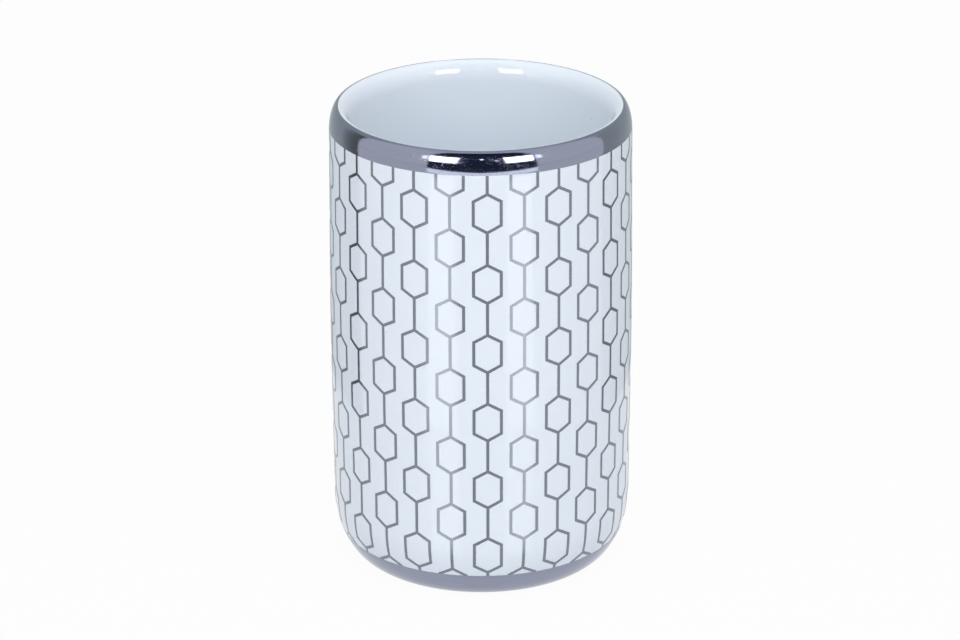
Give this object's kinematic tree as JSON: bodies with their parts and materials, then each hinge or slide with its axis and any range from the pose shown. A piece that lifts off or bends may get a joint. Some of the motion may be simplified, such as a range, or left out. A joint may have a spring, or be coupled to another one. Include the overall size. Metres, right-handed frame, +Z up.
{
  "type": "bathroom tumbler",
  "caption": "White glazed ceramic bathroom tumbler: a round cup with rounded lip and foot, silver lustre bands and printed chains of outlined hexagons.",
  "frame": {"origin": "centre of the standing ring, on the surface the cup stands on", "axes": "+Z up along the cup's axis, -Y towards the front, where the first chain is"},
  "size_m": [0.07, 0.07, 0.1101],
  "materials": {
    "biscuit": "unglazed fired clay",
    "white_glaze": "gloss white glaze",
    "silver_lustre": "fired silver lustre"
  },
  "bodies": {
    "root": {"ceramic_body": "biscuit", "glaze_coat": "white_glaze", "base_glaze": "white_glaze", "rim_band": "silver_lustre", "foot_band": "silver_lustre", "hexagon_chain_01": "silver_lustre", "hexagon_chain_02": "silver_lustre", "hexagon_chain_03": "silver_lustre", "hexagon_chain_04": "silver_lustre", "hexagon_chain_05": "silver_lustre", "hexagon_chain_06": "silver_lustre", "hexagon_chain_07": "silver_lustre", "hexagon_chain_08": "silver_lustre", "hexagon_chain_09": "silver_lustre", "hexagon_chain_10": "silver_lustre", "hexagon_chain_11": "silver_lustre", "hexagon_chain_12": "silver_lustre", "hexagon_chain_13": "silver_lustre", "hexagon_chain_14": "silver_lustre", "hexagon_chain_15": "silver_lustre", "hexagon_chain_16": "silver_lustre", "hexagon_chain_17": "silver_lustre", "hexagon_chain_18": "silver_lustre", "hexagon_chain_19": "silver_lustre", "hexagon_chain_20": "silver_lustre", "hexagon_chain_21": "silver_lustre", "hexagon_chain_22": "silver_lustre", "hexagon_chain_23": "silver_lustre", "hexagon_chain_24": "silver_lustre", "hexagon_chain_25": "silver_lustre", "hexagon_chain_26": "silver_lustre"}
  },
  "joints": []
}
